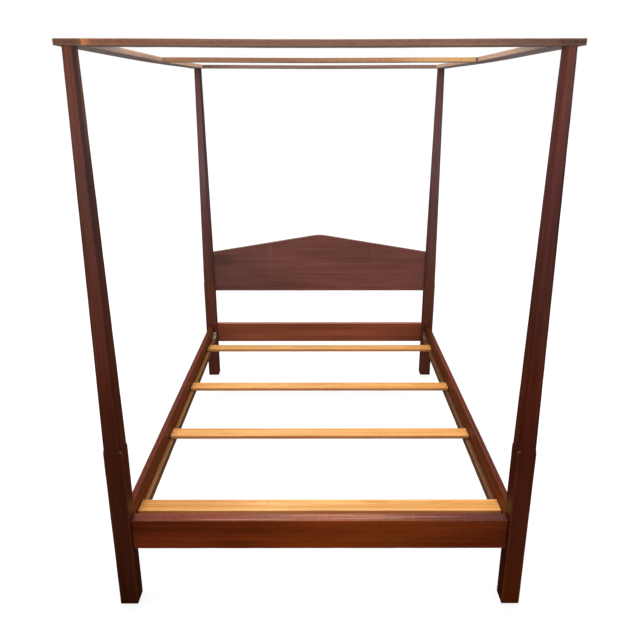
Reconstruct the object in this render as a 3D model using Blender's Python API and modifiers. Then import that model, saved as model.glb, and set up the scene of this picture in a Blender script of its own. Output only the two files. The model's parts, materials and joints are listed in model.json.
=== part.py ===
"""A full-size four poster bed with tapered octagonal posts and a flat canopy frame.

Metres, +Z up. The foot of the bed faces -Y and the head +Y, and left and right are as
seen from the foot. The origin is on the floor under the middle of the bed.

The frame is mortised: the foot rail, head rail and headboard have tenons in the posts.
The side rails hook onto slotted steel plates let into the posts. Cleats on the side
rails carry the slats. The canopy frame is doweled together, and drops over a steel pin
in the top of each post, so it lifts straight off.
"""

import math

import bmesh
import bpy

# Overall
WIDTH = 1.477
LENGTH = 2.07
POST_HEIGHT = 1.931
GAP = 0.0003

# Posts: a square block, a chamfer stop, then a straight taper
POST = 0.0655
POST_TOP = 0.039
POST_EASE = 0.0015
CHAMFER = 0.0108
CHAMFER_TOP = 0.0092
STOP_BOTTOM = 0.633
STOP_LENGTH = 0.018
STOP_STEPS = 6
FOOT_EASE = 0.002

# Foot rail and head rail
RAIL_BOTTOM = 0.236
RAIL_TOP = 0.355
FOOT_RAIL_THICKNESS = 0.0435
FOOT_RAIL_SETBACK = 0.0145
HEAD_RAIL_BOTTOM = 0.231
HEAD_RAIL_TOP = 0.357
HEAD_RAIL_THICKNESS = 0.029
HEAD_RAIL_SETBACK = 0.009
RAIL_EASE = 0.002
TENON_LENGTH = 0.028
TENON_THICKNESS = 0.016
TENON_SHOULDER = 0.012

# Headboard
BOARD_BOTTOM = 0.583
BOARD_SHOULDER = 0.838
BOARD_PEAK = 0.950
BOARD_THICKNESS = 0.022
BOARD_OFFSET = 0.006
PEAK_RADIUS = 0.24
PEAK_STEPS = 6
TONGUE_LENGTH = 0.016
TONGUE_SHOULDER = 0.010

# Side rails, cleats and slats
SIDE_RAIL_THICKNESS = 0.022
CLEAT_WIDTH = 0.0185
CLEAT_HEIGHT = 0.038
CLEAT_RAISE = 0.0025
SLAT_WIDTH = 0.071
SLAT_THICKNESS = 0.016
SLAT_END_GAP = 0.003
SLAT_FROM_FOOT = (1.783, 1.2415, 0.744, 0.192)
SLAT_SCREW_OFFSET = (0.0, 0.0, 0.0, 0.020)
SMALL_EASE = 0.001
SHARP_ANGLE = 40

# Canopy frame
CANOPY_WIDTH = 0.078
CANOPY_THICKNESS = 0.019
CANOPY_END_INSET = 0.010
CANOPY_EASE = 0.001

# Tester pins and canopy dowels
PIN_RADIUS = 0.004
PIN_IN_POST = 0.043
PIN_IN_CANOPY = 0.012
DOWEL_RADIUS = 0.004
DOWEL_LENGTH = 0.050
ROUND_CLEARANCE = 0.0004

# Bed-rail fasteners
PLATE_WIDTH = 0.016
PLATE_HEIGHT = 0.094
PLATE_THICKNESS = 0.0025
HOOK_WIDTH = 0.003
HOOK_NECK = 0.008
HOOK_LIP = 0.0025
HOOK_DROP = 0.006
HOOK_SPACING = 0.052
SLOT_WIDTH = 0.005
SLOT_HEIGHT = 0.016
POCKET_WIDTH = 0.009
POCKET_HEIGHT = 0.080
POCKET_DEPTH = 0.010

# Corner brackets at the head
BRACKET_WIDTH = 0.017
BRACKET_THICKNESS = 0.002
BRACKET_FOOT = 0.048
BRACKET_RISE = 0.030
BRACKET_BEND = 0.003

# Screws
SCREW_HEAD = 0.0038
SCREW_SHANK = 0.0018
SCREW_SINK = 0.0026
SCREW_SIDES = 12
SLAT_SCREW_LENGTH = 0.032
CLEAT_SCREW_LENGTH = 0.032
BRACKET_SCREW_LENGTH = 0.016
CLEAT_SCREWS_FROM_FOOT = (0.61, 1.10, 1.60)

# Worked out from the sizes above
POST_X = (WIDTH - POST) / 2
POST_Y = (LENGTH - POST) / 2
INNER_X = WIDTH / 2 - POST
SIDE_FACE_X = POST_X - SIDE_RAIL_THICKNESS / 2
SIDE_RAIL_END_Y = LENGTH / 2 - POST - GAP
CLEAT_BOTTOM = RAIL_BOTTOM + CLEAT_RAISE
CLEAT_TOP = CLEAT_BOTTOM + CLEAT_HEIGHT
CLEAT_X = SIDE_FACE_X - GAP - CLEAT_WIDTH / 2
SLAT_BOTTOM = CLEAT_TOP + GAP
SLAT_TOP = SLAT_BOTTOM + SLAT_THICKNESS
CANOPY_BOTTOM = POST_HEIGHT + GAP
CANOPY_END_Y = LENGTH / 2 - CANOPY_END_INSET
CANOPY_MIDDLE_Z = CANOPY_BOTTOM + CANOPY_THICKNESS / 2
CROSS_END_X = POST_X - CANOPY_WIDTH / 2
SIDES = (("left", -1), ("right", 1))
ENDS = (("foot", -1), ("head", 1))

# Finishes: base colour, roughness, metallic
FINISHES = {
    "post_wood": ((0.075, 0.022, 0.011, 1.0), 0.34, 0.0),
    "rail_wood": ((0.115, 0.030, 0.011, 1.0), 0.32, 0.0),
    "headboard_wood": ((0.135, 0.048, 0.034, 1.0), 0.38, 0.0),
    "canopy_wood": ((0.190, 0.085, 0.050, 1.0), 0.42, 0.0),
    "cleat_wood": ((0.230, 0.105, 0.050, 1.0), 0.55, 0.0),
    "slat_wood": ((0.800, 0.430, 0.150, 1.0), 0.55, 0.0),
    "dowel_wood": ((0.620, 0.410, 0.210, 1.0), 0.60, 0.0),
    "plated_steel": ((0.480, 0.460, 0.430, 1.0), 0.38, 1.0),
    "dark_screw": ((0.200, 0.170, 0.130, 1.0), 0.42, 1.0),
}


def clear_scene():
    for item in list(bpy.data.objects):
        bpy.data.objects.remove(item, do_unlink=True)


def new_collection(name):
    group = bpy.data.collections.new(name)
    bpy.context.scene.collection.children.link(group)
    return group


def finish(name):
    """The Principled material of that name, made on first use."""
    if name in bpy.data.materials:
        return bpy.data.materials[name]
    colour, roughness, metallic = FINISHES[name]
    made = bpy.data.materials.new(name)
    made.use_nodes = True
    shader = made.node_tree.nodes["Principled BSDF"]
    shader.inputs["Base Color"].default_value = colour
    shader.inputs["Roughness"].default_value = roughness
    shader.inputs["Metallic"].default_value = metallic
    made.diffuse_color = colour
    return made


def place(name, mesh, look, location=(0, 0, 0), rotation=(0, 0, 0), parent=None):
    """A part of the bed: its own object with its own finish."""
    part = bpy.data.objects.new(name, mesh)
    part.location = location
    part.rotation_euler = rotation
    part.parent = parent or bedstead
    parts.objects.link(part)
    part.material_slots[0].link = "OBJECT"
    part.material_slots[0].material = finish(look)
    return part


def mesh_with_slot(name, form):
    """The bmesh as a mesh with one material slot."""
    bmesh.ops.recalc_face_normals(form, faces=form.faces)
    mesh = bpy.data.meshes.new(name)
    form.to_mesh(mesh)
    form.free()
    mesh.materials.append(None)
    return mesh


def rounded(mesh):
    """Smooth shading round a turned mesh, with its sharp edges kept."""
    mesh.shade_smooth()
    mesh.set_sharp_from_angle(angle=math.radians(SHARP_ANGLE))
    return mesh


def box_mesh(name, size):
    form = bmesh.new()
    bmesh.ops.create_cube(form, size=1.0)
    bmesh.ops.scale(form, vec=size, verts=form.verts)
    return mesh_with_slot(name, form)


def cylinder_mesh(name, radius, length, sides):
    form = bmesh.new()
    bmesh.ops.create_cone(
        form, cap_ends=True, segments=sides, radius1=radius, radius2=radius, depth=length
    )
    return rounded(mesh_with_slot(name, form))


def baked(item):
    """The evaluated mesh of a helper object, which is removed."""
    bpy.context.view_layer.update()
    graph = bpy.context.evaluated_depsgraph_get()
    mesh = bpy.data.meshes.new_from_object(item.evaluated_get(graph))
    bpy.data.objects.remove(item, do_unlink=True)
    return mesh


def outline_mesh(name, points, thickness):
    """A flat outline in local X and Y, as a closed solid centred on its own plane."""
    curve = bpy.data.curves.new(name, "CURVE")
    curve.dimensions = "2D"
    curve.fill_mode = "BOTH"
    curve.extrude = thickness / 2
    spline = curve.splines.new("POLY")
    spline.points.add(len(points) - 1)
    for point, (x, y) in zip(spline.points, points):
        point.co = (x, y, 0, 1)
    spline.use_cyclic_u = True
    guide = bpy.data.objects.new(name, curve)
    cutters.objects.link(guide)
    mesh = baked(guide)
    form = bmesh.new()
    form.from_mesh(mesh)
    bmesh.ops.remove_doubles(form, verts=form.verts, dist=1e-6)
    bpy.data.meshes.remove(mesh)
    return mesh_with_slot(name, form)


def ease(part, width, segments=1):
    """Eased arrises all round a part."""
    bevel = part.modifiers.new("ease", "BEVEL")
    bevel.width = width
    bevel.segments = segments
    bevel.limit_method = "ANGLE"
    bevel.angle_limit = math.radians(SHARP_ANGLE)
    return part


def combine(part, tool_mesh, location, rotation=(0, 0, 0), operation="DIFFERENCE"):
    """Cut a tool from a part, or add it, with the tool kept as a wire cutter."""
    tool = bpy.data.objects.new(f"{part.name}_tool_{len(part.modifiers)}", tool_mesh)
    tool.location = location
    tool.rotation_euler = rotation
    tool.hide_render = True
    tool.display_type = "WIRE"
    cutters.objects.link(tool)
    boolean = part.modifiers.new(f"{operation.lower()}_{len(part.modifiers)}", "BOOLEAN")
    boolean.operation = operation
    boolean.object = tool
    boolean.solver = "EXACT"


def board(name, look, low, high, easing, segments=1, parent=None):
    """An eased board between two opposite corners."""
    size = [b - a for a, b in zip(low, high)]
    centre = [(a + b) / 2 for a, b in zip(low, high)]
    if parent:
        centre = [c - p for c, p in zip(centre, parent.location)]
    return ease(place(name, box_mesh(name, size), look, centre, parent=parent), easing, segments)


def cut_box(part, low, high, operation="DIFFERENCE"):
    size = [b - a for a, b in zip(low, high)]
    centre = [(a + b) / 2 for a, b in zip(low, high)]
    combine(part, box_mesh("tool", size), centre, operation=operation)


def post_half(z):
    """Half the width of a post over its flats at height z."""
    stop_top = STOP_BOTTOM + STOP_LENGTH
    share = max(0.0, (z - stop_top) / (POST_HEIGHT - stop_top))
    return (POST + (POST_TOP - POST) * share) / 2


def post_sections():
    """Height, half width and corner chamfer of each section of a post, from the floor up."""
    sections = [
        (0.0, POST / 2 - FOOT_EASE, POST_EASE),
        (FOOT_EASE, POST / 2, POST_EASE),
    ]
    for step in range(STOP_STEPS + 1):
        share = step / STOP_STEPS
        curve = share * share * (3 - 2 * share)
        chamfer = POST_EASE + (CHAMFER - POST_EASE) * curve
        sections.append((STOP_BOTTOM + STOP_LENGTH * share, POST / 2, chamfer))
    sections.append((POST_HEIGHT, POST_TOP / 2, CHAMFER_TOP))
    return sections


def post_mesh():
    """Eight-sided sections of unlike shape, lofted from the floor to the top."""
    form = bmesh.new()
    rings = []
    for z, half, chamfer in post_sections():
        flat = half - chamfer
        corners = (
            (half, -flat), (half, flat), (flat, half), (-flat, half),
            (-half, flat), (-half, -flat), (-flat, -half), (flat, -half),
        )
        rings.append([form.verts.new((x, y, z)) for x, y in corners])
    for lower, upper in zip(rings, rings[1:]):
        for i in range(len(lower)):
            j = (i + 1) % len(lower)
            form.faces.new((lower[i], lower[j], upper[j], upper[i]))
    form.faces.new(list(reversed(rings[0])))
    form.faces.new(rings[-1])
    return mesh_with_slot("post", form)


def mortise_post(post, side, low, high):
    """A mortise from the inner face of a post, between depths and heights across it."""
    reach = TENON_LENGTH + 2 * GAP
    if side < 0:
        x_low, x_high = -INNER_X - reach, -INNER_X + GAP
    else:
        x_low, x_high = INNER_X - GAP, INNER_X + reach
    cut_box(post, (x_low, low[0] - GAP, low[1] - GAP), (x_high, high[0] + GAP, high[1] + GAP))


def rail_span(end):
    """Front and back faces of the rail at the foot or head, and its heights."""
    if end < 0:
        front = -LENGTH / 2 + FOOT_RAIL_SETBACK
        return front, front + FOOT_RAIL_THICKNESS, RAIL_BOTTOM, RAIL_TOP
    back = LENGTH / 2 - HEAD_RAIL_SETBACK
    return back - HEAD_RAIL_THICKNESS, back, HEAD_RAIL_BOTTOM, HEAD_RAIL_TOP


def tenon_span(end):
    """Opposite corners, in Y and Z, of the tenons of an end rail."""
    front, back, bottom, top = rail_span(end)
    middle = (front + back) / 2
    half = TENON_THICKNESS / 2
    return (middle - half, bottom + TENON_SHOULDER), (middle + half, top - TENON_SHOULDER)


def make_end_rail(name, end):
    front, back, bottom, top = rail_span(end)
    reach = INNER_X - GAP
    rail = board(name, "rail_wood", (-reach, front, bottom), (reach, back, top), RAIL_EASE, 2)
    low, high = tenon_span(end)
    overlap = 2 * RAIL_EASE
    for _, side in SIDES:
        ends = sorted((side * (reach - overlap), side * (INNER_X + TENON_LENGTH)))
        cut_box(rail, (ends[0], *low), (ends[1], *high), "UNION")


def board_top(x):
    """Height of the headboard's gabled top, whose peak is rounded to an arc."""
    shoulder_x = POST_X - post_half(BOARD_SHOULDER)
    slope = math.atan2(BOARD_PEAK - BOARD_SHOULDER, shoulder_x)
    reach = PEAK_RADIUS * math.sin(slope)
    if abs(x) >= reach:
        return BOARD_SHOULDER + (shoulder_x - abs(x)) * math.tan(slope)
    centre = BOARD_SHOULDER + shoulder_x * math.tan(slope) - PEAK_RADIUS / math.cos(slope)
    return centre + math.sqrt(PEAK_RADIUS ** 2 - x ** 2)


def headboard_outline():
    """The panel and its tongues, counter-clockwise in X and Z."""
    low_x = POST_X - post_half(BOARD_BOTTOM) - GAP
    high_x = POST_X - post_half(BOARD_SHOULDER) - GAP
    tongue_x = INNER_X + TONGUE_LENGTH
    tongue_low = BOARD_BOTTOM + TONGUE_SHOULDER
    tongue_high = BOARD_SHOULDER - TONGUE_SHOULDER
    face = (tongue_low - BOARD_BOTTOM) / (BOARD_SHOULDER - BOARD_BOTTOM)
    low_face_x = low_x + (high_x - low_x) * face
    high_face_x = high_x - (high_x - low_x) * face
    right = [
        (low_x, BOARD_BOTTOM),
        (low_face_x, tongue_low),
        (tongue_x, tongue_low),
        (tongue_x, tongue_high),
        (high_face_x, tongue_high),
        (high_x, board_top(high_x)),
    ]
    shoulder_x = POST_X - post_half(BOARD_SHOULDER)
    slope = math.atan2(BOARD_PEAK - BOARD_SHOULDER, shoulder_x)
    reach = PEAK_RADIUS * math.sin(slope)
    arc = []
    for step in range(PEAK_STEPS + 1):
        x = reach * (1 - 2 * step / PEAK_STEPS)
        arc.append((x, board_top(x)))
    left = [(-x, z) for x, z in reversed(right)]
    return right + arc + left


def headboard_y():
    return POST_Y + BOARD_OFFSET


def make_headboard():
    mesh = outline_mesh("headboard", headboard_outline(), BOARD_THICKNESS)
    upright = (math.pi / 2, 0, 0)
    panel = place("headboard", mesh, "headboard_wood", (0, headboard_y(), 0), upright)
    ease(panel, RAIL_EASE)


def make_posts():
    mesh = post_mesh()
    for end_name, end in ENDS:
        for side_name, side in SIDES:
            name = f"{end_name}_post_{side_name}"
            post = place(name, mesh, "post_wood", (side * POST_X, end * POST_Y, 0))
            mortise_post(post, side, *tenon_span(end))
            if end > 0:
                cut_headboard_groove(post, side)
            cut_fastener_pocket(post, side, end)
            cut_pin_hole(post, side, end)


def cut_headboard_groove(post, side):
    half = BOARD_THICKNESS / 2 + GAP
    y = headboard_y()
    near = side * (INNER_X - POST / 2)
    far = side * (INNER_X + TONGUE_LENGTH + GAP)
    low, high = sorted((near, far))
    bottom = BOARD_BOTTOM + TONGUE_SHOULDER - GAP
    top = BOARD_SHOULDER - TONGUE_SHOULDER + GAP
    cut_box(post, (low, y - half, bottom), (high, y + half, top))


def cut_pin_hole(post, side, end):
    depth = PIN_IN_POST + GAP
    tool = cylinder_mesh("pin_hole", PIN_RADIUS + ROUND_CLEARANCE, 2 * depth, 24)
    combine(post, tool, (side * POST_X, end * POST_Y, POST_HEIGHT))


def fastener_frame(end):
    """The face of a post that meets a side rail, the way out of the post, and mid height."""
    return end * (LENGTH / 2 - POST), -end, (RAIL_BOTTOM + RAIL_TOP) / 2


def along(face, out, near, far):
    """Two distances out from a face, as low and high Y."""
    return sorted((face + out * near, face + out * far))


def cut_fastener_pocket(post, side, end):
    """A recess for the slotted plate, and behind it a pocket for the hooks."""
    face, out, middle = fastener_frame(end)
    x = side * POST_X
    recess = (PLATE_WIDTH / 2 + GAP, PLATE_HEIGHT / 2 + GAP)
    low, high = along(face, out, -PLATE_THICKNESS - 2 * GAP, GAP)
    cut_box(post, (x - recess[0], low, middle - recess[1]), (x + recess[0], high, middle + recess[1]))
    pocket = (POCKET_WIDTH / 2, POCKET_HEIGHT / 2)
    low, high = along(face, out, -PLATE_THICKNESS - POCKET_DEPTH, -PLATE_THICKNESS)
    cut_box(post, (x - pocket[0], low, middle - pocket[1]), (x + pocket[0], high, middle + pocket[1]))


def slot_middles():
    middle = (RAIL_BOTTOM + RAIL_TOP) / 2
    return middle - HOOK_SPACING / 2, middle + HOOK_SPACING / 2


def make_post_plate(name, side, end):
    face, out, middle = fastener_frame(end)
    x = side * POST_X
    low, high = along(face, out, -PLATE_THICKNESS - GAP, -GAP)
    half = (PLATE_WIDTH / 2, PLATE_HEIGHT / 2)
    plate = board(
        name, "plated_steel",
        (x - half[0], low, middle - half[1]), (x + half[0], high, middle + half[1]), 0.0004,
    )
    for z in slot_middles():
        slot = (SLOT_WIDTH / 2, SLOT_HEIGHT / 2)
        cut_box(plate, (x - slot[0], low - 0.001, z - slot[1]), (x + slot[0], high + 0.001, z + slot[1]))


def hook_outline():
    """One hook from the side: its neck runs in +X through the slot, and its lip drops."""
    plate_back = PLATE_THICKNESS + 3 * GAP
    lip_near = plate_back + PLATE_THICKNESS + 2 * GAP
    lip_far = lip_near + HOOK_LIP
    neck_low = -SLOT_HEIGHT / 2 + GAP
    neck_high = neck_low + HOOK_NECK
    root = PLATE_THICKNESS / 2
    return [
        (root, neck_low),
        (lip_near, neck_low),
        (lip_near, neck_low - HOOK_DROP),
        (lip_far, neck_low - HOOK_DROP),
        (lip_far, neck_high),
        (root, neck_high),
    ]


def make_rail_hook(name, side, end):
    """The steel plate in the end of a side rail, with two hooks that reach into the post."""
    face, out, middle = fastener_frame(end)
    x = side * POST_X
    low, high = along(face, out, 2 * GAP, 2 * GAP + PLATE_THICKNESS)
    half = (PLATE_WIDTH / 2, PLATE_HEIGHT / 2)
    plate = board(
        name, "plated_steel",
        (x - half[0], low, middle - half[1]), (x + half[0], high, middle + half[1]), 0.0004,
    )
    mesh = outline_mesh("hook", hook_outline(), HOOK_WIDTH)
    back = face + out * (2 * GAP + PLATE_THICKNESS)
    turn = (math.pi / 2, 0, math.pi / 2 if out < 0 else -math.pi / 2)
    for z in slot_middles():
        combine(plate, mesh, (x, back, z), turn, "UNION")


def make_side_rail(name, side):
    x = side * POST_X
    half = SIDE_RAIL_THICKNESS / 2
    reach = SIDE_RAIL_END_Y
    rail = board(
        name, "rail_wood", (x - half, -reach, RAIL_BOTTOM), (x + half, reach, RAIL_TOP), RAIL_EASE, 2
    )
    middle = (RAIL_BOTTOM + RAIL_TOP) / 2
    width = PLATE_WIDTH / 2 + GAP
    height = PLATE_HEIGHT / 2 + GAP
    for _, end in ENDS:
        face, out, _ = fastener_frame(end)
        low, high = along(face, out, 0, PLATE_THICKNESS + 3 * GAP)
        cut_box(rail, (x - width, low, middle - height), (x + width, high, middle + height))
    return rail


def screw_profile(head, shank, length, above):
    """Half the outline of a countersunk screw, from its axis at the top to its tip."""
    tip = 3 * shank
    return [
        (0.0, above),
        (head, above),
        (head, -0.0003),
        (shank, -SCREW_SINK),
        (shank, tip - length),
        (0.0, -length),
    ]


def turned_mesh(name, profile):
    """A profile in X and Z, turned about Z."""
    form = bmesh.new()
    verts = [form.verts.new((x, 0, z)) for x, z in profile]
    for upper, lower in zip(verts, verts[1:]):
        form.edges.new((upper, lower))
    mesh = bpy.data.meshes.new(name)
    form.to_mesh(mesh)
    form.free()
    guide = bpy.data.objects.new(name, mesh)
    cutters.objects.link(guide)
    screw = guide.modifiers.new("turn", "SCREW")
    screw.steps = SCREW_SIDES
    screw.render_steps = SCREW_SIDES
    screw.use_merge_vertices = True
    screw.merge_threshold = 0.00001
    turned = baked(guide)
    form = bmesh.new()
    form.from_mesh(turned)
    bpy.data.meshes.remove(turned)
    return rounded(mesh_with_slot(name, form))


def screw_meshes(length):
    """A screw with a crossed recess in its head, and the cutter for its hole."""
    body = turned_mesh("screw", screw_profile(SCREW_HEAD, SCREW_SHANK, length, 0.0))
    master = bpy.data.objects.new("screw", body)
    cutters.objects.link(master)
    for size in ((0.0050, 0.0011, 0.0024), (0.0011, 0.0050, 0.0024)):
        combine(master, box_mesh("recess", size), (0, 0, 0))
    wide = 0.0004
    hole = turned_mesh(
        "screw_hole",
        screw_profile(SCREW_HEAD + wide, SCREW_SHANK + wide, length + 0.001, 0.002),
    )
    tools = [boolean.object for boolean in master.modifiers]
    mesh = baked(master)
    for tool in tools:
        bpy.data.objects.remove(tool, do_unlink=True)
    return mesh, hole


def drive(name, meshes, location, rotation, through):
    """A screw in its hole, cut through each of the parts that it passes."""
    screw, hole = meshes
    place(name, screw, "dark_screw", location, rotation)
    for part in through:
        combine(part, hole, location, rotation)


def make_deck():
    """Side rails, cleats and slats, with their screws."""
    slat_screw = screw_meshes(SLAT_SCREW_LENGTH)
    cleat_screw = screw_meshes(CLEAT_SCREW_LENGTH)
    reach = SLAT_END_GAP
    slats = []
    for number, from_foot in enumerate(SLAT_FROM_FOOT, 1):
        y = from_foot - LENGTH / 2
        end_x = SIDE_FACE_X - reach
        slats.append(board(
            f"slat_{number}", "slat_wood",
            (-end_x, y - SLAT_WIDTH / 2, SLAT_BOTTOM), (end_x, y + SLAT_WIDTH / 2, SLAT_TOP),
            SMALL_EASE,
        ))
    for side_name, side in SIDES:
        rail = make_side_rail(f"side_rail_{side_name}", side)
        low, high = sorted((side * (SIDE_FACE_X - GAP), side * (SIDE_FACE_X - GAP - CLEAT_WIDTH)))
        cleat_y = SIDE_RAIL_END_Y - GAP
        cleat = board(
            f"cleat_{side_name}", "cleat_wood",
            (low, -cleat_y, CLEAT_BOTTOM), (high, cleat_y, CLEAT_TOP), SMALL_EASE,
        )
        drive_slat_screws(side_name, side, slats, cleat, slat_screw)
        drive_cleat_screws(side_name, side, cleat, rail, cleat_screw)
        make_bracket(side_name, side, cleat)


def drive_slat_screws(side_name, side, slats, cleat, meshes):
    for number, slat in enumerate(slats, 1):
        y = SLAT_FROM_FOOT[number - 1] - LENGTH / 2 + SLAT_SCREW_OFFSET[number - 1]
        spot = (side * CLEAT_X, y, SLAT_TOP - GAP)
        drive(f"slat_screw_{number}_{side_name}", meshes, spot, (0, 0, 0), (slat, cleat))


def drive_cleat_screws(side_name, side, cleat, rail, meshes):
    head_x = side * (CLEAT_X - CLEAT_WIDTH / 2 + GAP)
    turn = (0, -side * math.pi / 2, 0)
    z = CLEAT_BOTTOM + CLEAT_HEIGHT * 0.38
    for number, from_foot in enumerate(CLEAT_SCREWS_FROM_FOOT, 1):
        spot = (head_x, from_foot - LENGTH / 2, z)
        drive(f"cleat_screw_{side_name}_{number}", meshes, spot, turn, (cleat, rail))


def bracket_outline():
    """A bent strip from the side: its foot runs in -X from the corner, its leg in +Y."""
    t, r = BRACKET_THICKNESS, BRACKET_BEND
    turns = (math.pi / 2, math.pi / 4, 0)
    inner = [(-t - r + r * math.sin(a), t + r - r * math.cos(a)) for a in turns]
    leg = [(0, 0), (0, BRACKET_RISE), (-t, BRACKET_RISE)]
    foot = [(-BRACKET_FOOT, t), (-BRACKET_FOOT, 0)]
    return leg + inner + foot


def make_bracket(side_name, side, cleat):
    """A steel angle on the head end of a cleat, against the head post."""
    x = side * CLEAT_X
    post_face = LENGTH / 2 - POST
    mesh = outline_mesh("bracket", bracket_outline(), BRACKET_WIDTH)
    corner = (x, post_face - GAP, CLEAT_TOP + GAP)
    name = f"corner_bracket_{side_name}"
    bracket = place(name, mesh, "plated_steel", corner, (math.pi / 2, 0, math.pi / 2))
    meshes = screw_meshes(BRACKET_SCREW_LENGTH)
    proud = BRACKET_THICKNESS - GAP
    down = (x, post_face - BRACKET_FOOT * 0.7, CLEAT_TOP + proud)
    drive(f"bracket_screw_{side_name}_cleat", meshes, down, (0, 0, 0), (bracket, cleat))
    post = bpy.data.objects[f"head_post_{side_name}"]
    back = (x, post_face - proud, CLEAT_TOP + BRACKET_RISE * 0.68)
    drive(f"bracket_screw_{side_name}_post", meshes, back, (math.pi / 2, 0, 0), (bracket, post))


def make_pin(name, side, end):
    """A tester pin, its ends chamfered, standing out of the top of a post."""
    length = PIN_IN_POST + PIN_IN_CANOPY
    middle = POST_HEIGHT + (PIN_IN_CANOPY - PIN_IN_POST) / 2
    mesh = cylinder_mesh("pin", PIN_RADIUS, length, 16)
    ease(place(name, mesh, "plated_steel", (side * POST_X, end * POST_Y, middle)), SMALL_EASE)


def make_canopy_side(side_name, side, lift):
    x = side * POST_X
    half = CANOPY_WIDTH / 2
    rail = board(
        f"canopy_side_rail_{side_name}", "canopy_wood",
        (x - half, -CANOPY_END_Y, CANOPY_BOTTOM),
        (x + half, CANOPY_END_Y, CANOPY_BOTTOM + CANOPY_THICKNESS),
        CANOPY_EASE, parent=lift,
    )
    hole = cylinder_mesh("pin_hole", PIN_RADIUS + ROUND_CLEARANCE, 2 * (PIN_IN_CANOPY + GAP), 24)
    for _, end in ENDS:
        combine(rail, hole, (x, end * POST_Y, CANOPY_BOTTOM))
    return rail


def make_canopy(lift):
    """Two long boards with three cross boards between them, doweled at each joint."""
    sides = [(name, side, make_canopy_side(name, side, lift)) for name, side in SIDES]
    half = CANOPY_WIDTH / 2
    reach = CROSS_END_X - GAP
    end_y = CANOPY_END_Y - half
    dowel = cylinder_mesh("dowel", DOWEL_RADIUS, DOWEL_LENGTH, 16)
    bore = cylinder_mesh("bore", DOWEL_RADIUS + ROUND_CLEARANCE, DOWEL_LENGTH + 0.002, 16)
    across = (0, math.pi / 2, 0)
    for name, y in (("front", -end_y), ("middle", 0.0), ("rear", end_y)):
        cross = board(
            f"canopy_{name}_rail", "canopy_wood",
            (-reach, y - half, CANOPY_BOTTOM), (reach, y + half, CANOPY_BOTTOM + CANOPY_THICKNESS),
            CANOPY_EASE, parent=lift,
        )
        for side_name, side, rail in sides:
            spot = (side * CROSS_END_X, y, CANOPY_MIDDLE_Z)
            local = (spot[0], spot[1], spot[2] - lift.location.z)
            dowel_name = f"canopy_dowel_{name}_{side_name}"
            ease(place(dowel_name, dowel, "dowel_wood", local, across, lift), SMALL_EASE)
            for part in (cross, rail):
                combine(part, bore, spot, across)


def new_empty(name, height):
    empty = bpy.data.objects.new(name, None)
    empty.location = (0, 0, height)
    bpy.context.scene.collection.objects.link(empty)
    return empty


clear_scene()
parts = new_collection("four_poster_bed")
cutters = new_collection("cutters")
bedstead = new_empty("bedstead", 0.0)
canopy_lift = new_empty("canopy_lift", CANOPY_BOTTOM)

make_posts()
make_end_rail("foot_rail", -1)
make_end_rail("head_rail", 1)
make_headboard()
make_deck()
for end_label, end_sign in ENDS:
    for side_label, side_sign in SIDES:
        corner_label = f"{end_label}_{side_label}"
        make_post_plate(f"post_plate_{corner_label}", side_sign, end_sign)
        make_rail_hook(f"rail_hook_{corner_label}", side_sign, end_sign)
        make_pin(f"tester_pin_{corner_label}", side_sign, end_sign)
make_canopy(canopy_lift)
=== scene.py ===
"""The looks of the four poster canopy bed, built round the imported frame.

Every board becomes a finer copy of its CAD solid: rounded arrises that wander as worn
ones do, small chips, and a slight sag in the canopy. Each has its own solid wood grain.
Metres, +Z up, the foot of the bed towards -Y. All places come from the frame.
"""

import json
import math
import random
from dataclasses import dataclass, replace

import bmesh
import bpy
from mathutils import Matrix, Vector, noise

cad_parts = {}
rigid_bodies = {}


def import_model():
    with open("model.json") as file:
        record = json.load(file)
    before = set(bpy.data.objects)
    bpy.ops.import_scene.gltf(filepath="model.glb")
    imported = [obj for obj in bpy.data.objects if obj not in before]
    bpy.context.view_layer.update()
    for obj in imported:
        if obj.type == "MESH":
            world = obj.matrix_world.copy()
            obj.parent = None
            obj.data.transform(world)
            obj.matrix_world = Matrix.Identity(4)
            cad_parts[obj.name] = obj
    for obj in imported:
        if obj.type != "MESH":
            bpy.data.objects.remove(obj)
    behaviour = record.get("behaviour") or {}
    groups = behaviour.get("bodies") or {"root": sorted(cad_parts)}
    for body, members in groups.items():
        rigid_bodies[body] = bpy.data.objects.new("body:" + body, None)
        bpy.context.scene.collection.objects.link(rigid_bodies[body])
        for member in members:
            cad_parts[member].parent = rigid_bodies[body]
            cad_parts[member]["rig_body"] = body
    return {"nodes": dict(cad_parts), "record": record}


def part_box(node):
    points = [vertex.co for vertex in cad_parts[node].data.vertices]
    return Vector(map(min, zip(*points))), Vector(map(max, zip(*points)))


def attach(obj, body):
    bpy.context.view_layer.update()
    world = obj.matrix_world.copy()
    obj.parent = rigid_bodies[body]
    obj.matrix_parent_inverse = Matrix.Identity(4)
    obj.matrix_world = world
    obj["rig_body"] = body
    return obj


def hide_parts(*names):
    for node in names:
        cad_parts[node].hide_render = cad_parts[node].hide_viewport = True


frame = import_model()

NODES = frame["nodes"]
BOX = {node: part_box(node) for node in NODES}
SLOTS = {part["node"]: part["material_slot"] for part in frame["record"]["subparts"]}
SIDES = (("left", -1), ("right", 1))
AXES = {"x": 0, "y": 1, "z": 2}

# Camera: metres, then degrees, then millimetres
EYE = (-0.0021, -2.9366, 1.8134)
LOOK_DOWN = 18.11
LOOK_RIGHT = 0.08
LENS = 35.93
SENSOR = 36.0
SHIFT_Y = -0.0331

# Floor: its size, how far it lies below the posts, its grey to the camera, in polished faces
# and as it lights the bed, and what it adds to its grey for the camera
FLOOR_SIZE = 60
FLOOR_DROP = 0.0004
FLOOR_SEEN = (0.19, 0.19, 0.19, 1)
FLOOR_MIRRORED = (0.01, 0.01, 0.01, 1)
FLOOR_BOUNCED = (0.25, 0.25, 0.25, 1)
FLOOR_GLOW = 0.8

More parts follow.
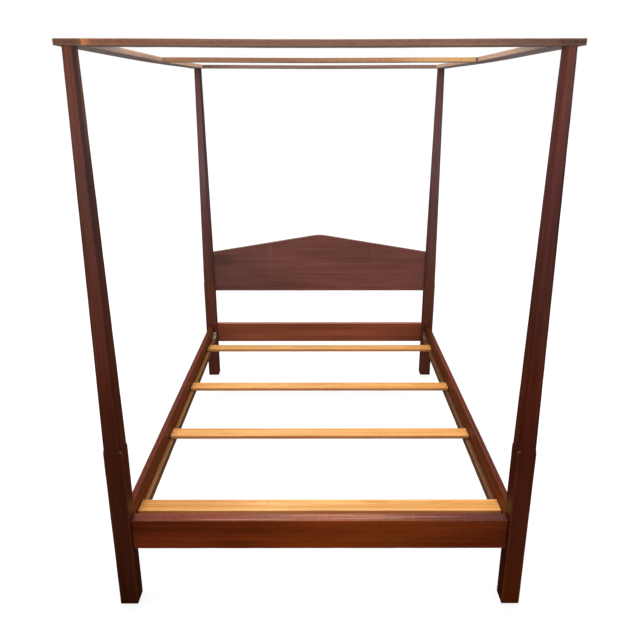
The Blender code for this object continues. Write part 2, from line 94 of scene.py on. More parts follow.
# Light of the room, everywhere and from above
ROOM_LIGHT = 0.08
TOP_LIGHT = 0.7

# Glows in the room: strength, and how closely each keeps to its direction
HEAD_GLOW = (0.6, 4.0)
FOOT_GLOW = (3.0, 8.0)
RIGHT_GLOW = (0.6, 2.0)
WINDOW_GLOW = (8.0, 120.0)

# The way to a window beyond the head, which shows in the foot rail's top
WINDOW = (0.0, math.cos(math.radians(37)), math.sin(math.radians(37)))

# Overhead lamp: strength, width and tilts in degrees
LAMP_STRENGTH = 3.5
LAMP_WIDTH = 50
LAMP_TILT = (-12, -8)

# Finer boards: angles that count as flat, worn, an arris and a sharp edge
FLAT = math.radians(0.6)
WORN = math.radians(12)
ARRIS = math.radians(25)
SHARP = math.radians(50)

# Finer boards: lengths
WELD = 1e-6
SHORTEST_ARRIS = 0.004
ROUNDING = 0.0005
STATION = 0.022
CLEAR_OF_END = 0.0005
CHIP_STEPS = (-1.0, -0.6, -0.25, 0.0, 0.25, 0.6, 1.0)

# Worn arrises: the depth, its mean share, and the scale and share of the two noises in it
WANDER = 0.0005
MEAN_WEAR = 0.45
SLOW_WEAR = (14, 0.8)
QUICK_WEAR = (55, 0.5)

# How much bare wood colour shows in a chip; at the foot posts' chamfer stops, a painted highlight
BARE_WOOD_AND_HIGHLIGHT = 0.45

# Noises of the wood: scale along, across and through the grain, per metre, detail, roughness
SWAY = ((1.4, 6.0, 6.0), 2.0)
RIBBON = ((0.9, 38.0, 38.0), 1.0)
STREAK = ((1.1, 105.0, 105.0), 2.0, 0.6)
FIBRE = ((3.5, 240.0, 240.0), 4.0, 0.62)
MOTTLE = ((1.8, 9.0, 9.0), 2.0, 0.55)
PORES = ((70.0, 1500.0, 1500.0), 1.0)
SCUFFS = ((7.0, 26.0, 26.0), 1.0)
PLANED = ((9.0, 30.0, 30.0), 1.0)

# Noises of the finish, which don't follow the grain
RUBBING = ((34.0, 34.0, 34.0), 3.0, 0.7)
SCUFF_PATCHES = ((5.0, 5.0, 5.0), 1.0)
HAZE = ((14.0, 14.0, 14.0), 3.0, 0.6)

# Where the scuffs' noise is read, beside the place of the figure's
SCUFF_SHIFT = (0.31, 0.017, 0.014)

# How strongly the layers of the figure tell
CONTRAST = 2.4

# How near an edge wood and steel are rubbed, and how near a corner they get dirt and painted shade
WOOD_RUB_REACH = 0.006
WOOD_GRIME_AND_SHADE_REACH = 0.012
STEEL_RUB_REACH = 0.0012
STEEL_DIRT_AND_SHADE_REACH = 0.004

# Height of the raised grain and of the plating's grit
WOOD_RELIEF = 0.0009
STEEL_RELIEF = 0.0003

PORE_COLOUR = (0.012, 0.005, 0.003, 1)
# Dirt and painted shade in the joints darken towards this
GRIME_AND_SHADE_TINT = (0.22, 0.17, 0.15, 1)

# Where the chamfers of the posts run out
CHAMFER_STOP = 0.642

# Heights where painted shade on the chamfers and painted light on the block start, and are full
CHAMFER_SHADE_FADE = (0.75, 1.6)
BLOCK_LIGHT_FADE = (0.66, 0.6)
CHAMFER_PAINTED_SHADE = (0.48, 0.67, 0.82, 1)
BLOCK_PAINTED_LIGHT = (1.4, 1.5, 0.95, 1)

# Painted highlights along the foot rail's top: middle, distance behind the front face, half length
RAIL_HIGHLIGHT_STREAKS = ((-0.28, 0.009, 0.24), (0.06, 0.031, 0.3), (0.3, 0.022, 0.26), (0.16, 0.014, 0.2))

# Canopy sag, at the middle of each board
SIDE_SAG = 0.0045
CROSS_SAG = 0.0025


def srgb(red, green, blue):
    """A display colour, 0 to 255, as linear light."""

    def linear(value):
        share = value / 255
        return share / 12.92 if share <= 0.04045 else ((share + 0.055) / 1.055) ** 2.4

    return (linear(red), linear(green), linear(blue), 1.0)


# Node trees


class Tree:
    """A shader node tree, made a node at a time."""

    def __init__(self, tree):
        self.nodes = tree.nodes
        self.links = tree.links
        self.nodes.clear()

    def add(self, kind, inputs=None, **settings):
        node = self.nodes.new("ShaderNode" + kind)
        for name, value in settings.items():
            setattr(node, name, value)
        for key, value in (inputs or {}).items():
            self.feed(node.inputs[key], value)
        return node

    def feed(self, socket, value):
        if isinstance(value, bpy.types.NodeSocket):
            self.links.new(value, socket)
        else:
            socket.default_value = value

    def math(self, operation, first, second=0.0, third=0.0, clamp=False):
        inputs = {0: first, 1: second, 2: third}
        return self.add("Math", inputs, operation=operation, use_clamp=clamp).outputs[0]

    def vector(self, operation, first, second):
        return self.add("VectorMath", {0: first, 1: second}, operation=operation).outputs[0]

    def dot(self, first, second):
        node = self.add("VectorMath", {0: first, 1: second}, operation="DOT_PRODUCT")
        return node.outputs["Value"]

    def length(self, vector):
        return self.add("VectorMath", {0: vector}, operation="LENGTH").outputs["Value"]

    def split(self, vector):
        return self.add("SeparateXYZ", {0: vector}).outputs

    def join(self, x, y, z):
        return self.add("CombineXYZ", {0: x, 1: y, 2: z}).outputs[0]

    def mix(self, factor, first, second, blend="MIX"):
        inputs = {0: factor, 6: first, 7: second}
        return self.add("Mix", inputs, data_type="RGBA", blend_type=blend).outputs[2]

    def ease(self, value, low, high, start=0.0, end=1.0):
        """value from low to high becomes start to end, smoothly."""
        inputs = {0: value, 1: low, 2: high, 3: start, 4: end}
        return self.add("MapRange", inputs, interpolation_type="SMOOTHSTEP").outputs[0]

    def noise(self, place, scale, detail=2.0, roughness=0.5):
        """Noise with its own scale along each axis, per metre."""
        inputs = {
            "Vector": self.vector("MULTIPLY", place, scale),
            "Scale": 1.0,
            "Detail": detail,
            "Roughness": roughness,
        }
        return self.add("TexNoise", inputs)

    def ramp(self, value, stops):
        """A colour ramp of (position, colour) stops."""
        node = self.add("ValToRGB", {0: value})
        elements = node.color_ramp.elements
        while len(elements) > 1:
            elements.remove(elements[-1])
        elements[0].position, elements[0].color = stops[0]
        for position, colour in stops[1:]:
            elements.new(position).color = colour
        return node.outputs[0]

    def occlusion(self, distance, inside=False):
        """How open a point is within a distance: outwards, or inside its own solid."""
        settings = {"samples": 4, "inside": inside, "only_local": inside}
        return self.add("AmbientOcclusion", {"Distance": distance}, **settings).outputs["AO"]

    def principled(self, colour, rough, height, strength, relief):
        """A bumpy surface as the material's output. Its other sockets are left to be set."""
        bump = self.add("Bump", {"Strength": strength, "Distance": relief, "Height": height})
        inputs = {"Base Color": colour, "Roughness": rough, "Normal": bump.outputs[0]}
        surface = self.add("BsdfPrincipled", inputs)
        self.add("OutputMaterial", {"Surface": surface.outputs[0]})
        return surface


def new_material(name):
    material = bpy.data.materials.new(name)
    material.use_nodes = True
    return material, Tree(material.node_tree)


@dataclass
class Finish:
    """How a kind of timber and its surface look.

    shade and light tint its colour where the figure is darkest and lightest, end_grain on
    the ends, and worn is the colour of its rubbed edges.
    """

    shade: tuple = (0.62, 0.58, 0.55, 1)
    light: tuple = (1.35, 1.38, 1.42, 1)
    ring_width: float = 0.006
    rings: float = 0.15
    ribbon: float = 0.3
    streak: float = 0.5
    fibre: float = 0.35
    mottle: float = 0.5
    pores: float = 0.5
    end_grain: tuple = (0.55, 0.5, 0.48, 1)
    worn: tuple = (0.3, 0.15, 0.08, 1)
    wear: float = 0.5
    grime_and_shade: float = 0.75
    roughness: float = 0.42
    bump: float = 0.35
    specular: float = 0.5


MAHOGANY = Finish(worn=srgb(150, 92, 60), roughness=0.4, specular=0.1)
POLISHED = replace(MAHOGANY, roughness=0.26, specular=0.16, rings=0.1, streak=0.45, mottle=1.0)
RUBBED = replace(MAHOGANY, roughness=0.5, specular=0.07)
BOARD = replace(MAHOGANY, rings=0.25, ribbon=0.25, roughness=0.46, specular=0.3)
CANOPY = replace(
    MAHOGANY,
    shade=(0.72, 0.7, 0.68, 1),
    light=(1.22, 1.24, 1.24, 1),
    end_grain=(0.72, 0.76, 0.8, 1),
    worn=srgb(205, 160, 118),
    wear=0.45,
    roughness=0.62,
    specular=0.2,
)
STRIP = replace(
    MAHOGANY,
    shade=(0.7, 0.68, 0.62, 1),
    light=(1.25, 1.25, 1.25, 1),
    worn=srgb(196, 146, 96),
    wear=0.6,
    roughness=0.6,
    specular=0.15,
)
PINE = Finish(
    shade=(0.8, 0.7, 0.56, 1),
    light=(1.08, 1.1, 1.16, 1),
    ring_width=0.0042,
    rings=0.7,
    ribbon=0.6,
    streak=1.3,
    fibre=0.3,
    mottle=0.7,
    pores=0.15,
    end_grain=(0.7, 0.62, 0.5, 1),
    worn=srgb(240, 206, 150),
    wear=0.35,
    grime_and_shade=0.6,
    roughness=0.55,
    bump=0.3,
    specular=0.12,
)
DOWEL = replace(PINE, ring_width=0.002, rings=0.25, roughness=0.6)


@dataclass
class Spot:
    """A stain, knot, chip or scuff, or a painted highlight: an ellipsoid of colour."""

    centre: tuple
    reach: tuple
    colour: tuple
    strength: float = 1.0


@dataclass
class Side:
    """Faces turned one way with a colour of their own, or a tint over the board's, mostly painted
    light and shade.

    low and high are how squarely a face is turned that way where it starts to show and
    where it shows in full. fade says the same of the place along the grain.
    """

    towards: tuple
    colour: tuple
    strength: float = 1.0
    low: float = 0.6
    high: float = 0.85
    tint: bool = False
    fade: tuple = ()


def grain_order(grain, x, y, z):
    """x, y and z in a board's own order: along the grain, across it and through the board."""
    return {"x": (x, y, z), "y": (y, x, z), "z": (z, x, y)}[grain]


def growth_rings(tree, board, finish, rng):
    """Rings round a pith outside the board, with a slow early and a sharp late edge."""
    sway = tree.noise(board, *SWAY).outputs[1]
    sway = tree.vector("MULTIPLY", tree.vector("SUBTRACT", sway, (0.5,) * 3), (0, 0.03, 0.03))
    pith = (0.0, rng.uniform(-0.02, 0.02), -rng.uniform(0.05, 0.09))
    _, across, through = tree.split(tree.vector("SUBTRACT", tree.vector("ADD", board, sway), pith))
    radius = tree.length(tree.join(0.0, across, through))
    ring = tree.math("FRACT", tree.math("DIVIDE", radius, finish.ring_width))
    late = tree.math("POWER", ring, 3.0)
    return tree.math("MULTIPLY", late, tree.ease(ring, 0.9, 1.0, 1.0, 0.0))


def wood_figure(tree, board, fibre, finish, rng):
    """The figure of the wood, from 0 dark to 1 light."""
    late = growth_rings(tree, board, finish, rng)
    figure = tree.math("MULTIPLY_ADD", late, -finish.rings, 0.5 + finish.rings * 0.2)
    layers = (
        (tree.noise(board, *RIBBON).outputs[0], finish.ribbon),
        (tree.noise(board, *STREAK).outputs[0], finish.streak),
        (fibre, finish.fibre),
        (tree.noise(board, *MOTTLE).outputs[0], finish.mottle),
    )
    for layer, share in layers:
        centred = tree.math("SUBTRACT", layer, 0.5)
        figure = tree.math("MULTIPLY_ADD", centred, share * CONTRAST, figure)
    return tree.math("ADD", figure, 0.0, clamp=True)


def stain_and_painted_light(tree, along, facing, tones, sides):
    """The stain's colour along the board, and then the painted light and shade of faces by side."""
    start, end = tones[0][0], tones[-1][0]
    if end > start:
        share = tree.math("DIVIDE", tree.math("SUBTRACT", along, start), end - start)
        stops = [((where - start) / (end - start), colour) for where, colour in tones]
        colour = tree.ramp(share, stops)
    else:
        colour = tones[0][1]
    for side in sides:
        turned = tree.ease(tree.dot(facing, side.towards), side.low, side.high, 0.0, side.strength)
        if side.fade:
            turned = tree.math("MULTIPLY", turned, tree.ease(along, *side.fade))
        target = tree.mix(1.0, colour, side.colour, "MULTIPLY") if side.tint else side.colour
        colour = tree.mix(turned, colour, target)
    return colour


def add_spots(tree, place, colour, spots):
    """The colour with the stains, knots and chips over it."""
    for spot in spots:
        offset = tree.vector("DIVIDE", tree.vector("SUBTRACT", place, spot.centre), spot.reach)
        inside = tree.ease(tree.length(offset), 0.55, 1.0, spot.strength, 0.0)
        colour = tree.mix(inside, colour, spot.colour)
    return colour


def rubbed_arrises(tree, place, wear):
    """How rubbed the surface is, which it is unevenly near an outer edge."""
    rub = tree.noise(place, *RUBBING).outputs[0]
    rub = tree.math("MULTIPLY_ADD", tree.ease(rub, 0.36, 0.62), 0.75, 0.25)
    near_edge = tree.ease(tree.occlusion(WOOD_RUB_REACH, inside=True), 0.5, 0.9, wear, 0.0)
    return tree.math("MULTIPLY", near_edge, rub)


def hairline_scuffs(tree, place, board):
    """Thin contour lines of a noise, here and there."""
    scuff = tree.noise(tree.vector("ADD", board, SCUFF_SHIFT), *SCUFFS).outputs[0]
    scuff = tree.math("ABSOLUTE", tree.math("SUBTRACT", scuff, 0.5))
    patches = tree.noise(place, *SCUFF_PATCHES).outputs[0]
    line = tree.ease(scuff, 0.0, 0.002, 0.14, 0.0)
    return tree.math("MULTIPLY", line, tree.ease(patches, 0.52, 0.64))


def wood_look(name, grain, tones, finish, sides=(), spots=()):
    """One board's material. tones are (place along the grain in metres, colour)."""
    rng = random.Random(name)
    material, tree = new_material(name)
    coordinates = tree.add("TexCoord")
    place = coordinates.outputs["Object"]
    facing = coordinates.outputs["Normal"]
    along, across, through = grain_order(grain, *tree.split(place))
    log = (rng.uniform(0, 9), rng.uniform(-0.01, 0.01), rng.uniform(-0.01, 0.01))
    board = tree.vector("SUBTRACT", tree.join(along, across, through), board_middle(name, grain))
    board = tree.vector("ADD", board, log)
    fibre = tree.noise(board, *FIBRE).outputs[0]

    # The stain, with painted light and shade by side, and the figure through it
    figure = wood_figure(tree, board, fibre, finish, rng)
    colour = stain_and_painted_light(tree, along, facing, tones, sides)
    colour = tree.mix(1.0, colour, tree.mix(figure, finish.shade, finish.light), "MULTIPLY")

    # Pores are short dark dashes along the grain
    pore = tree.ease(tree.noise(board, *PORES).outputs[0], 0.58, 0.7)
    colour = tree.mix(tree.math("MULTIPLY", pore, finish.pores), colour, PORE_COLOUR)

    # End grain
    axis = tuple(1.0 if AXES[grain] == i else 0.0 for i in range(3))
    on_end = tree.ease(tree.math("ABSOLUTE", tree.dot(facing, axis)), 0.7, 0.9)
    colour = tree.mix(on_end, colour, tree.mix(1.0, colour, finish.end_grain, "MULTIPLY"))

    # Marks of use
    colour = add_spots(tree, place, colour, spots)
    rubbed = rubbed_arrises(tree, place, finish.wear)
    colour = tree.mix(rubbed, colour, finish.worn)
    line = hairline_scuffs(tree, place, board)
    colour = tree.mix(line, colour, finish.worn)

    # Grime and painted shade in the joints and corners
    grime_and_shade_mask = tree.ease(tree.occlusion(WOOD_GRIME_AND_SHADE_REACH), 0.25, 0.8, finish.grime_and_shade, 0.0)
    colour = tree.mix(grime_and_shade_mask, colour, tree.mix(1.0, colour, GRIME_AND_SHADE_TINT, "MULTIPLY"))

    # Varnish that has dulled unevenly
    haze = tree.noise(place, *HAZE).outputs[0]
    rough = tree.math("MULTIPLY_ADD", haze, 0.16, finish.roughness - 0.08)
    rough = tree.math("MULTIPLY_ADD", fibre, 0.1, tree.math("SUBTRACT", rough, 0.05))
    rough = tree.math("MULTIPLY_ADD", rubbed, 0.18, rough)
    rough = tree.math("MULTIPLY_ADD", on_end, 0.15, rough, clamp=True)

    # Raised grain, open pores and a hand-worked surface
    planed = tree.noise(board, *PLANED).outputs[0]
    height = tree.math("MULTIPLY_ADD", fibre, 0.35, planed)
    height = tree.math("MULTIPLY_ADD", pore, -0.45, height)
    height = tree.math("MULTIPLY_ADD", line, -0.8, height)

    surface = tree.principled(colour, rough, height, finish.bump, WOOD_RELIEF)
    surface.inputs["Specular IOR Level"].default_value = finish.specular
    return material


def steel_look(name, bright, dull, roughness, scale):
    """Plated or dark steel: mottled, rubbed at its edges, with dirt and painted shade in its
    corners.
    """
    material, tree = new_material(name)
    place = tree.add("TexCoord").outputs["Object"]
    tarnish = tree.noise(place, (scale,) * 3, 4.0, 0.65).outputs[0]
    colour = tree.mix(tree.ease(tarnish, 0.35, 0.68), bright, dull)
    spangle = tree.add("TexVoronoi", {"Vector": place, "Scale": scale * 4})
    tone = tree.split(spangle.outputs["Color"])[0]
    tint = tree.mix(tone, (0.82, 0.82, 0.82, 1), (1.15, 1.15, 1.15, 1))
    colour = tree.mix(1.0, colour, tint, "MULTIPLY")
    rubbed = tree.ease(tree.occlusion(STEEL_RUB_REACH, inside=True), 0.45, 0.85, 0.6, 0.0)
    colour = tree.mix(rubbed, colour, srgb(196, 188, 176))
    # Dirt and painted shade near other surfaces
    dirt_and_shade = tree.ease(tree.occlusion(STEEL_DIRT_AND_SHADE_REACH), 0.3, 0.8, 0.8, 0.0)
    colour = tree.mix(dirt_and_shade, colour, srgb(38, 28, 22))
    rough = tree.math("MULTIPLY_ADD", tarnish, 0.3, roughness - 0.15)
    rough = tree.math("MULTIPLY_ADD", rubbed, -0.1, rough, clamp=True)
    grit = tree.noise(place, (scale * 9,) * 3, 3.0, 0.7).outputs[0]
    surface = tree.principled(colour, rough, grit, 0.3, STEEL_RELIEF)
    surface.inputs["Metallic"].default_value = 0.55
    return material


# Finer boards


def board_middle(node, grain):
    """The middle of a board in its own order of axes: along the grain, across, through."""
    low, high = BOX[node]
    return grain_order(grain, *(low + high) / 2)


@dataclass
class Chip:
    """A small piece knocked off an arris: a hollow with bare wood in it."""

    centre: tuple
    reach: float = 0.005
    depth: float = 0.0014


def stations(low, high, chips, axis):
    """Where a board is cut across, so that its arrises can wander and its chips have a shape."""
    count = max(2, round((high - low) / STATION))
    cuts = [low + (high - low) * step / count for step in range(1, count)]
    for chip in chips:
        cuts += [chip.centre[axis] + chip.reach * step for step in CHIP_STEPS]
    return [cut for cut in cuts if low + CLEAR_OF_END < cut < high - CLEAR_OF_END]


def finer_form(node, grain, chips):
    """The node's solid with rounded arrises, cut across every few centimetres."""
    form = bmesh.new()
    form.from_mesh(NODES[node].data)
    bmesh.ops.remove_doubles(form, verts=form.verts, dist=WELD)
    bmesh.ops.dissolve_limit(form, angle_limit=FLAT, verts=form.verts, edges=form.edges)
    arrises = [
        edge
        for edge in form.edges
        if edge.is_manifold
        and edge.is_convex
        and edge.calc_face_angle() > ARRIS
        and edge.calc_length() > SHORTEST_ARRIS
    ]
    bmesh.ops.bevel(
        form, geom=arrises, offset=ROUNDING, segments=2, affect="EDGES", clamp_overlap=True
    )
    axis = AXES[grain]
    normal = Vector(1.0 if i == axis else 0.0 for i in range(3))
    low, high = (corner[axis] for corner in BOX[node])
    for cut in stations(low, high, chips, axis):
        geometry = form.verts[:] + form.edges[:] + form.faces[:]
        bmesh.ops.bisect_plane(
            form, geom=geometry, plane_co=normal * cut, plane_no=normal, dist=WELD
        )
    return form


def wear_down(form, seed, chips):
    """Moves the arrises in by a wandering amount, and hollows out the chips."""
    form.normal_update()
    away = Vector((seed, seed * 2, seed * 3))
    slow_scale, slow_share = SLOW_WEAR
    quick_scale, quick_share = QUICK_WEAR
    moves = []
    for vertex in form.verts:
        sharp = max((edge.calc_face_angle(0.0) for edge in vertex.link_edges), default=0.0)
        depth = 0.0
        if sharp > WORN:
            slow = noise.noise(vertex.co * slow_scale + away)
            quick = noise.noise(vertex.co * quick_scale + away)
            depth = WANDER * max(0.0, MEAN_WEAR + slow_share * slow + quick_share * quick)
        for chip in chips:
            distance = (vertex.co - Vector(chip.centre)).length / chip.reach
            if distance < 1:
                depth = max(depth, chip.depth * (1 - distance * distance))
        if depth:
            moves.append((vertex, vertex.normal * depth))
    for vertex, move in moves:
        vertex.co -= move


def finished_piece(node, form, material):
    """Puts the form in the scene in the node's stead, shaded smooth over its arrises."""
    name = node + "_finished"
    mesh = bpy.data.meshes.new(name)
    form.to_mesh(mesh)
    form.free()
    mesh.materials.append(material)
    mesh.shade_smooth()
    mesh.set_sharp_from_angle(angle=SHARP)
    piece = bpy.data.objects.new(name, mesh)
    bpy.context.scene.collection.objects.link(piece)
    weighted = piece.modifiers.new("weighted normals", "WEIGHTED_NORMAL")
    weighted.keep_sharp = True
    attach(piece, NODES[node]["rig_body"])
    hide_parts(node)


def make_board(node, grain, tones, finish, sides=(), spots=(), chips=(), bend=None):
    """A finished board in place of a CAD node."""
    form = finer_form(node, grain, chips)
    wear_down(form, len(node) + ord(node[-1]) * 0.37, chips)
    if bend:
        for vertex in form.verts:
            vertex.co.z -= bend(vertex.co)
    bare = [Spot(chip.centre, (chip.reach,) * 3, finish.worn, BARE_WOOD_AND_HIGHLIGHT) for chip in chips]
    material = wood_look(node, grain, tones, finish, sides, (*spots, *bare))
    finished_piece(node, form, material)


# Pieces


# Tones up each post, as (share of its height, colour), lighter and greyer upwards: painted sheen
LEFT_POST_TONES = (
    (0.0, srgb(50, 17, 3)),
    (0.15, srgb(64, 24, 8)),
    (0.33, srgb(70, 27, 12)),
    (0.45, srgb(74, 28, 14)),
    (0.62, srgb(95, 48, 36)),
    (0.80, srgb(97, 57, 50)),
    (1.0, srgb(121, 70, 55)),
)
RIGHT_POST_TONES = (
    (0.0, srgb(78, 29, 3)),
    (0.15, srgb(72, 26, 8)),
    (0.33, srgb(73, 24, 8)),
    (0.45, srgb(87, 32, 17)),
    (0.62, srgb(84, 41, 32)),
    (0.80, srgb(98, 49, 46)),
    (1.0, srgb(112, 62, 52)),
)
HEAD_POST_TONES = (
    (0.0, srgb(88, 42, 28)),
    (0.33, srgb(96, 52, 38)),
    (0.7, srgb(112, 79, 80)),
    (1.0, srgb(120, 78, 74)),
)
POST_TONES = {
    "foot_post_left": LEFT_POST_TONES,
    "foot_post_right": RIGHT_POST_TONES,
    "head_post_left": HEAD_POST_TONES,
    "head_post_right": HEAD_POST_TONES,
}


def make_posts():
    for node, shares in POST_TONES.items():
        low, high = BOX[node]
        tones = [(share * high.z, colour) for share, colour in shares]
        # Painted shade on each post's chamfer turned to the front right
        sides = [Side((0.7071, -0.7071, 0), CHAMFER_PAINTED_SHADE, 1.0, 0.9, 0.97, True, CHAMFER_SHADE_FADE)]
        if node == "foot_post_left":
            # Painted light on the left foot post's block, on its side turned right
            sides.append(Side((1, 0, 0), BLOCK_PAINTED_LIGHT, tint=True, fade=BLOCK_LIGHT_FADE))
        # The pale spot of the chip at each foot post's chamfer stop is a painted highlight
        chips = []
        if node.startswith("foot"):
            half = (high.x - low.x) / 2
            inwards = -math.copysign(1, low.x)
            place = (low.x + high.x) / 2 + inwards * half * 0.8
            chips.append(Chip((place, low.y, CHAMFER_STOP)))
        make_board(node, "z", tones, MAHOGANY, sides=sides, chips=chips)


def make_rails():
    low, high = BOX["foot_rail"]
    tones = [
        (low.x, srgb(94, 34, 10)),
        (low.x * 0.5, srgb(108, 41, 7)),
        (0.0, srgb(114, 46, 7)),
        (high.x * 0.4, srgb(114, 48, 9)),
        (high.x, srgb(98, 36, 10)),
    ]
    # Painted sheen on the top: a pale tint, warmed back towards the left and darker towards the
    # right
    painted_sheen_tops = [
        Side((0, 0, 1), (0.95, 1.25, 1.7, 1), tint=True),
        Side((0, 0, 1), (1.5, 0.95, 0.5, 1), tint=True, fade=(low.x * 0.2, low.x * 0.8)),
        Side((0, 0, 1), (0.55, 0.3, 0.2, 1), tint=True, fade=(high.x * 0.1, high.x * 0.75)),
    ]
    # Pale streaks on the top: painted highlights
    highlight_streaks = [
        Spot((x, low.y + inwards, high.z), (half, 0.0016, 0.003), srgb(206, 150, 132), 0.55)
        for x, inwards, half in RAIL_HIGHLIGHT_STREAKS
    ]
    nick = Chip((0.33, low.y + 0.001, high.z - 0.001), reach=0.006)
    make_board("foot_rail", "x", tones, POLISHED, sides=painted_sheen_tops, spots=highlight_streaks, chips=[nick])

    low, high = BOX["head_rail"]
    tones = [(low.x, srgb(144, 73, 45)), (0.0, srgb(152, 76, 45)), (high.x, srgb(138, 66, 40))]
    make_board("head_rail", "x", tones, BOARD)

    low, high = BOX["headboard"]
    tones = [(low.x, srgb(104, 62, 54)), (0.0, srgb(124, 69, 58)), (high.x, srgb(118, 66, 56))]
    stain = Spot((low.x + 0.07, low.y, low.z + 0.2), (0.09, 0.05, 0.05), srgb(80, 48, 42), 0.6)
    make_board("headboard", "x", tones, BOARD, spots=[stain])

    for side, _ in SIDES:
        node = f"side_rail_{side}"
        low, high = BOX[node]
        tones = [(low.y, srgb(122, 60, 24)), (high.y, srgb(110, 60, 34))]
        # A darker top: painted shade
        top_painted_shading = Side((0, 0, 1), srgb(80, 28, 12))
        chips = []
        if side == "right":
            beside_slat = BOX["slat_3"][0].y + 0.03
            place = ((low.x + high.x) / 2 - 0.008, beside_slat, high.z - 0.0005)
            chips.append(Chip(place, depth=0.0012))
        make_board(node, "y", tones, RUBBED, sides=[top_painted_shading], chips=chips)


def make_deck():
    for side, _ in SIDES:
        node = f"cleat_{side}"
        low, high = BOX[node]
        tones = [(low.y, srgb(116, 80, 50)), (high.y, srgb(112, 78, 50))]
        # Painted light on the left cleat's top and painted shade on the right one's
        shade = srgb(139, 87, 43) if side == "left" else srgb(92, 48, 20)
        top_painted_shading = Side((0, 0, 1), shade)
        chips = []
        if side == "right":
            chips.append(Chip((low.x, BOX["slat_3"][0].y - 0.1, high.z)))
        make_board(node, "y", tones, STRIP, sides=[top_painted_shading], chips=chips)

    for number in range(1, 5):
        node = f"slat_{number}"
        low, high = BOX[node]
        tones = [
            (low.x, srgb(190, 135, 70)),
            (low.x * 0.3, srgb(207, 156, 95)),
            (high.x * 0.5, srgb(206, 152, 87)),
            (high.x, srgb(203, 143, 75)),
        ]
        # Front edges: painted light, brightest on the slat nearest the foot
        edge = Side((0, -1, 0), srgb(253, 174, 107) if number == 4 else srgb(206, 138, 84))
        knots = []
        if number == 4:
            knots.append(Spot((-0.2, low.y + 0.05, high.z), (0.004, 0.003, 0.01), srgb(70, 34, 14)))
        make_board(node, "x", tones, PINE, sides=[edge], spots=knots)


def side_sag(place):
    """How far a canopy side rail hangs below straight, along the bed."""
    end = BOX["canopy_side_rail_left"][1].y
    return SIDE_SAG * math.cos(math.pi / 2 * place.y / end) ** 2


def canopy_sag(place):
    """The side rails' sag, and each cross rail's own across the bed."""
    end = BOX["canopy_front_rail"][1].x
    across = min(1.0, abs(place.x) / end)
    return side_sag(place) + CROSS_SAG * math.cos(math.pi / 2 * across) ** 2


# Tones across each cross rail, as (share of its half length, colour)
CROSS_TONES = {
    "front": (
        (-1.0, srgb(222, 146, 92)),
        (-0.975, srgb(214, 136, 84)),
        (-0.96, srgb(160, 105, 76)),
        (-0.8, srgb(147, 95, 75)),
        (-0.6, srgb(150, 103, 84)),
        (0.0, srgb(153, 111, 93)),
        (0.6, srgb(148, 106, 89)),
        (1.0, srgb(120, 86, 74)),
    ),
    "middle": (
        (-1.0, srgb(190, 138, 106)),
        (0.0, srgb(184, 136, 108)),
        (0.45, srgb(200, 144, 104)),
        (0.75, srgb(246, 190, 126)),
        (1.0, srgb(250, 194, 130)),
    ),
    "rear": (
        (-1.0, srgb(120, 100, 88)),
        (-0.75, srgb(157, 124, 111)),
        (1.0, srgb(160, 127, 111)),
    ),
}


def make_canopy():
    for side, sign in SIDES:
        node = f"canopy_side_rail_{side}"
        low, high = BOX[node]
        end = srgb(141, 94, 71) if side == "left" else srgb(122, 86, 67)
        tones = [(low.y, end), (0.0, srgb(150, 104, 84)), (high.y, srgb(140, 100, 80))]
        # Painted light on the undersides and inner faces, and painted shade on the inner faces
        # towards the front
        painted_lit_under = Side((0, 0, -1), srgb(167, 148, 148))
        painted_lit_inner = Side((-sign, 0, 0), srgb(232, 190, 162))
        fade = (low.y * 0.5, low.y * 0.85)
        shaded = Side((-sign, 0, 0), (0.54, 0.63, 0.75, 1), tint=True, fade=fade)
        spots = []
        if side == "right":
            place = (low.x, BOX["canopy_middle_rail"][0].y - 0.018, low.z + 0.008)
            spots.append(Spot(place, (0.01, 0.017, 0.02), srgb(60, 44, 36), 0.9))
        sides = [painted_lit_under, painted_lit_inner, shaded]
        make_board(node, "y", tones, CANOPY, sides=sides, spots=spots, bend=side_sag)

    # Painted light on the undersides
    painted_lit_under = Side((0, 0, -1), srgb(164, 137, 127))
    over = Side((0, 0, 1), (0.55, 0.52, 0.55, 1), tint=True)
    for name, shares in CROSS_TONES.items():
        node = f"canopy_{name}_rail"
        end = BOX[node][1].x
        tones = [(share * end, colour) for share, colour in shares]
        sides = [painted_lit_under, over] if name == "middle" else [painted_lit_under]
        make_board(node, "x", tones, CANOPY, sides=sides, bend=canopy_sag)
        for side, _ in SIDES:
            tones = [(0.0, srgb(208, 170, 118))]
            make_board(f"canopy_dowel_{name}_{side}", "x", tones, DOWEL, bend=side_sag)


def paint(nodes, material):
    for node in nodes:
        slots = NODES[node].data.materials
        slots.clear()
        slots.append(material)


def make_hardware():
    plated = steel_look("plated_steel", srgb(240, 234, 218), srgb(180, 164, 142), 0.45, 160.0)
    screw = steel_look("dark_screw", srgb(88, 70, 48), srgb(44, 32, 24), 0.5, 420.0)
    # The right corner bracket is the same plated steel, made darker: painted shade
    plated_in_painted_shade = steel_look("plated_steel_in_painted_shade", srgb(152, 124, 104), srgb(108, 84, 68), 0.6, 160.0)
    dark = [node for node, slot in SLOTS.items() if slot == "dark_screw"]
    bright = [node for node, slot in SLOTS.items() if slot == "plated_steel"]
    paint(bright, plated)
    paint(["corner_bracket_right"], plated_in_painted_shade)
    paint(dark, screw)


# Stage, light and camera


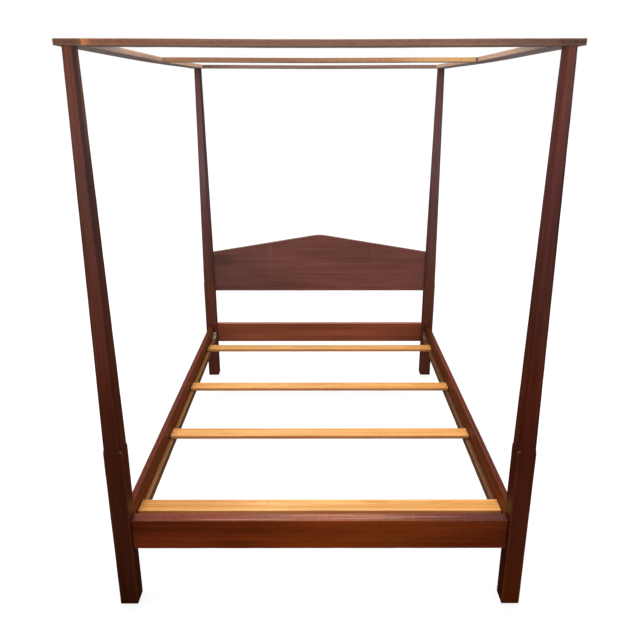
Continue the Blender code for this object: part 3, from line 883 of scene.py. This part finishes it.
def make_floor():
    """White to the camera, and dimmer to the bed than it looks."""
    bpy.ops.mesh.primitive_plane_add(size=FLOOR_SIZE, location=(0, 0, -FLOOR_DROP))
    floor = bpy.context.object
    floor.name = "floor"
    material, tree = new_material("floor")
    rays = tree.add("LightPath")
    seen = rays.outputs["Is Camera Ray"]
    shade = tree.mix(seen, FLOOR_BOUNCED, FLOOR_SEEN)
    shade = tree.mix(rays.outputs["Is Glossy Ray"], shade, FLOOR_MIRRORED)
    inputs = {
        "Base Color": shade,
        "Roughness": 1.0,
        "Emission Color": (1, 1, 1, 1),
        "Emission Strength": tree.math("MULTIPLY", seen, FLOOR_GLOW),
    }
    surface = tree.add("BsdfPrincipled", inputs)
    surface.inputs["Specular IOR Level"].default_value = 0.0
    tree.add("OutputMaterial", {"Surface": surface.outputs[0]})
    floor.data.materials.append(material)


def make_world():
    """A soft room, bright overhead and from the foot, with a window beyond the head.

    To the camera it is at least white.
    """
    world = bpy.data.worlds.new("studio")
    world.use_nodes = True
    bpy.context.scene.world = world
    tree = Tree(world.node_tree)
    direction = tree.add("TexCoord").outputs["Generated"]
    x, y, z = tree.split(direction)
    light = tree.math("MULTIPLY_ADD", tree.math("MAXIMUM", z, 0.0), TOP_LIGHT, ROOM_LIGHT)
    glows = (
        (y, HEAD_GLOW),
        (tree.math("MULTIPLY", y, -1.0), FOOT_GLOW),
        (x, RIGHT_GLOW),
        (tree.dot(direction, WINDOW), WINDOW_GLOW),
    )
    for towards, (strength, focus) in glows:
        glow = tree.math("POWER", tree.math("MAXIMUM", towards, 0.0), focus)
        light = tree.math("MULTIPLY_ADD", glow, strength, light)
    seen = tree.add("LightPath").outputs["Is Camera Ray"]
    strength = tree.math("MAXIMUM", light, seen)
    background = tree.add("Background", {"Color": (1, 1, 1, 1), "Strength": strength})
    tree.add("OutputWorld", {"Surface": background.outputs[0]})


def make_sun():
    sun = bpy.data.lights.new("overhead", "SUN")
    sun.energy = LAMP_STRENGTH
    sun.angle = math.radians(LAMP_WIDTH)
    lamp = bpy.data.objects.new("overhead", sun)
    lamp.rotation_euler = (*(math.radians(tilt) for tilt in LAMP_TILT), 0)
    bpy.context.scene.collection.objects.link(lamp)


def make_camera():
    data = bpy.data.cameras.new("camera")
    data.lens = LENS
    data.sensor_width = SENSOR
    data.shift_y = SHIFT_Y
    camera = bpy.data.objects.new("camera", data)
    camera.location = EYE
    camera.rotation_euler = (math.radians(90 - LOOK_DOWN), 0, math.radians(-LOOK_RIGHT))
    bpy.context.scene.collection.objects.link(camera)
    bpy.context.scene.camera = camera


bpy.context.scene.view_settings.view_transform = "Standard"
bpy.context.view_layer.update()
make_camera()
make_world()
make_sun()
make_floor()
make_posts()
make_rails()
make_deck()
make_canopy()
make_hardware()
